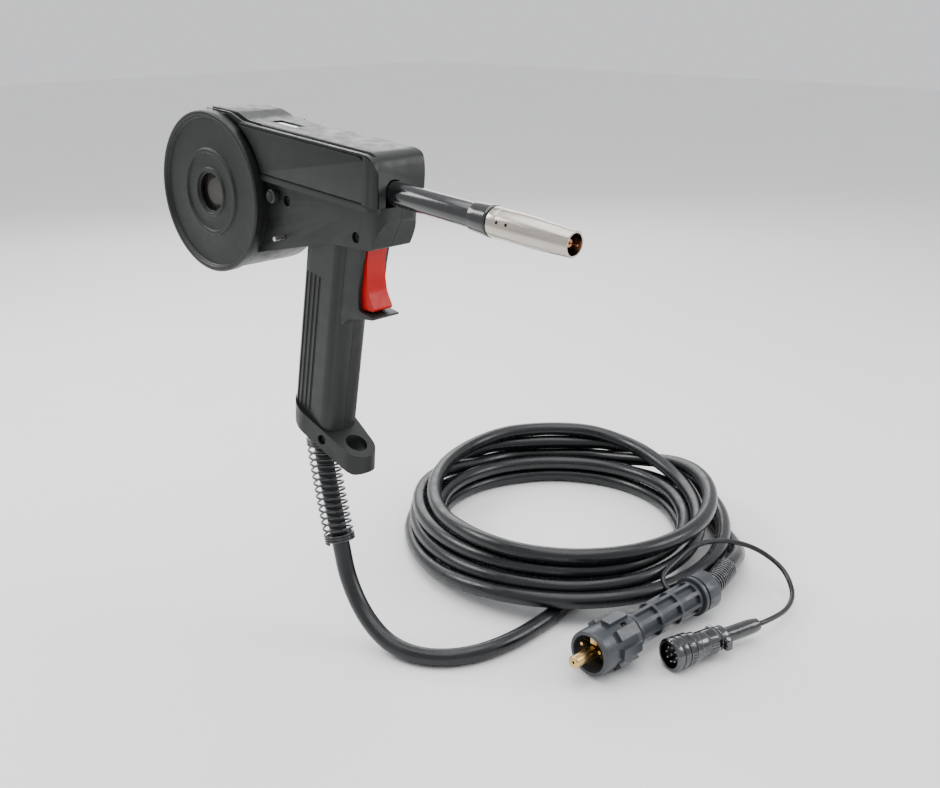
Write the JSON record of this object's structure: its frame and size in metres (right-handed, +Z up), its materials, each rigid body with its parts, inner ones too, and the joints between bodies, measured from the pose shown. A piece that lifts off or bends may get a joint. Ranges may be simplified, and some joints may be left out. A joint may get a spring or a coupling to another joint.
{
  "type": "mig welding torch",
  "caption": "Pistol-shaped welding gun with a round wire drum on its side, straight neck and nozzle, red trigger, coiled cable, heavy plug and thin control lead with round connector.",
  "frame": {"origin": "centre of the grip, on the parting plane of its two halves", "axes": "+X towards the nozzle end, level with the floor; +Y to the gun's left; +Z up"},
  "size_m": [0.4424, 0.4721, 0.4283],
  "materials": {
    "shell_plastic": "fine moulded texture",
    "dark_plastic": "satin",
    "trigger_red": "satin",
    "window": "clear",
    "steel": "brushed",
    "blackened_steel": "gloss black",
    "nickel": "polished nickel",
    "brass": "machined",
    "copper": "machined copper",
    "connector_metal": "dark chrome",
    "rubber": "satin rubber",
    "plug_plastic": "satin",
    "spool_plastic": "matt",
    "welding_wire": "copper coated"
  },
  "bodies": {
    "frame": {"drum_housing": "shell_plastic", "upper_housing": "shell_plastic", "housing_right": "shell_plastic", "housing_left": "shell_plastic", "base_flange": "shell_plastic", "spool_spindle": "dark_plastic", "gearbox": "dark_plastic", "neck_tube": "dark_plastic", "nozzle_sleeve": "dark_plastic", "microswitch": "dark_plastic", "connector_insert": "dark_plastic", "sight_window": "window", "housing_screw_1": "steel", "housing_screw_2": "steel", "flange_screw": "steel", "brake_spring": "steel", "drive_plate": "steel", "drive_motor": "steel", "pressure_pivot": "steel", "trigger_pin": "steel", "trigger_spring": "steel", "cable_clamp": "steel", "cover_pin": "steel", "grip_spring": "blackened_steel", "plug_spring": "blackened_steel", "inlet_guide": "brass", "power_block": "brass", "gas_diffuser": "brass", "plug_core": "brass", "plug_pin": "brass", "contact_tip": "copper", "connector_backshell": "connector_metal", "connector_clamp": "connector_metal", "clamp_screw_1": "connector_metal", "clamp_screw_2": "connector_metal", "power_cable_lead": "rubber", "power_cable_coil": "rubber", "power_cable_tail": "rubber", "control_cable": "rubber", "cable_sleeve": "rubber", "plug_body": "plug_plastic", "plug_end_cap": "plug_plastic", "welding_wire": "welding_wire"},
    "spool_cover": {"spool_cover": "shell_plastic"},
    "spool": {"wire_spool": "spool_plastic", "wire_winding": "welding_wire"},
    "spindle_nut": {"spindle_nut": "spool_plastic"},
    "side_door": {"side_door": "shell_plastic"},
    "cover_latch": {"cover_latch": "dark_plastic"},
    "drive_roll": {"drive_roll": "steel", "drive_roll_screw": "dark_plastic"},
    "pressure_arm": {"pressure_arm": "dark_plastic", "tension_spring": "steel"},
    "pressure_roll": {"pressure_roll": "steel"},
    "tension_knob": {"tension_knob": "dark_plastic"},
    "trigger": {"trigger": "trigger_red"},
    "switch_button": {"switch_button": "steel"},
    "gas_nozzle": {"gas_nozzle": "nickel"},
    "plug_nut": {"plug_nut": "plug_plastic"},
    "connector_ring": {"connector_ring": "connector_metal"}
  },
  "joints": [
    {"name": "cover_pull", "type": "slide", "parent": "frame", "child": "spool_cover", "axis": [0, -1, 0], "range_m": [0, 0.06]},
    {"name": "spool_spin", "type": "hinge", "parent": "frame", "child": "spool", "pos_m": [-0.10893, -0.0035, 0.10415], "axis": [0, 1, 0], "continuous": true},
    {"name": "spindle_nut_turn", "type": "hinge", "parent": "frame", "child": "spindle_nut", "pos_m": [-0.10893, -0.027, 0.10415], "axis": [0, 1, 0], "continuous": true},
    {"name": "side_door_hinge", "type": "hinge", "parent": "frame", "child": "side_door", "pos_m": [0.00551, -0.025, 0.15446], "axis": [-0.9967, 0, 0.0809], "range_deg": [0, 110]},
    {"name": "cover_latch_turn", "type": "hinge", "parent": "frame", "child": "cover_latch", "pos_m": [-0.03735, -0.022, 0.10838], "axis": [0, 1, 0], "range_deg": [0, 90]},
    {"name": "drive_roll_spin", "type": "hinge", "parent": "frame", "child": "drive_roll", "pos_m": [0.0322, -0.006, 0.11246], "axis": [0, 1, 0], "continuous": true},
    {"name": "pressure_arm_lift", "type": "hinge", "parent": "frame", "child": "pressure_arm", "pos_m": [0.01073, -0.006, 0.14461], "axis": [0, -1, 0], "range_deg": [0, 5], "stiffness_Nm_per_rad": 2, "springref_deg": -5.73, "deforming": ["tension_spring"]},
    {"name": "pressure_roll_spin", "type": "hinge", "parent": "pressure_arm", "child": "pressure_roll", "pos_m": [0.03415, -0.006, 0.13648], "axis": [0, 1, 0], "continuous": true},
    {"name": "tension_knob_turn", "type": "hinge", "parent": "frame", "child": "tension_knob", "pos_m": [0.05459, -0.006, 0.14105], "axis": [0.0809, 0, 0.9967], "continuous": true},
    {"name": "trigger_press", "type": "hinge", "parent": "frame", "child": "trigger", "pos_m": [0.04113, 0, 0.08646], "axis": [0, 1, 0], "range_deg": [0, 5], "stiffness_Nm_per_rad": 1.2, "springref_deg": -5.73},
    {"name": "switch_press", "type": "slide", "parent": "frame", "child": "switch_button", "axis": [-0.9967, 0, 0.0809], "range_m": [0, 0.0024]},
    {"name": "nozzle_pull", "type": "slide", "parent": "frame", "child": "gas_nozzle", "axis": [0.9967, 0, -0.0809], "range_m": [0, 0.07]},
    {"name": "plug_nut_turn", "type": "hinge", "parent": "frame", "child": "plug_nut", "pos_m": [0.19948, 0.09375, -0.2363], "axis": [0.0558, 0.9984, 0], "continuous": true},
    {"name": "connector_ring_turn", "type": "hinge", "parent": "frame", "child": "connector_ring", "pos_m": [0.24126, 0.14461, -0.2443], "axis": [0.2756, 0.9613, 0], "continuous": true}
  ],
  "couplings": [
    {"joint": "pressure_roll_spin", "follows": "drive_roll_spin", "ratio": -1.3684},
    {"joint": "switch_press", "follows": "trigger_press", "m_per_rad": 0.0255}
  ]
}
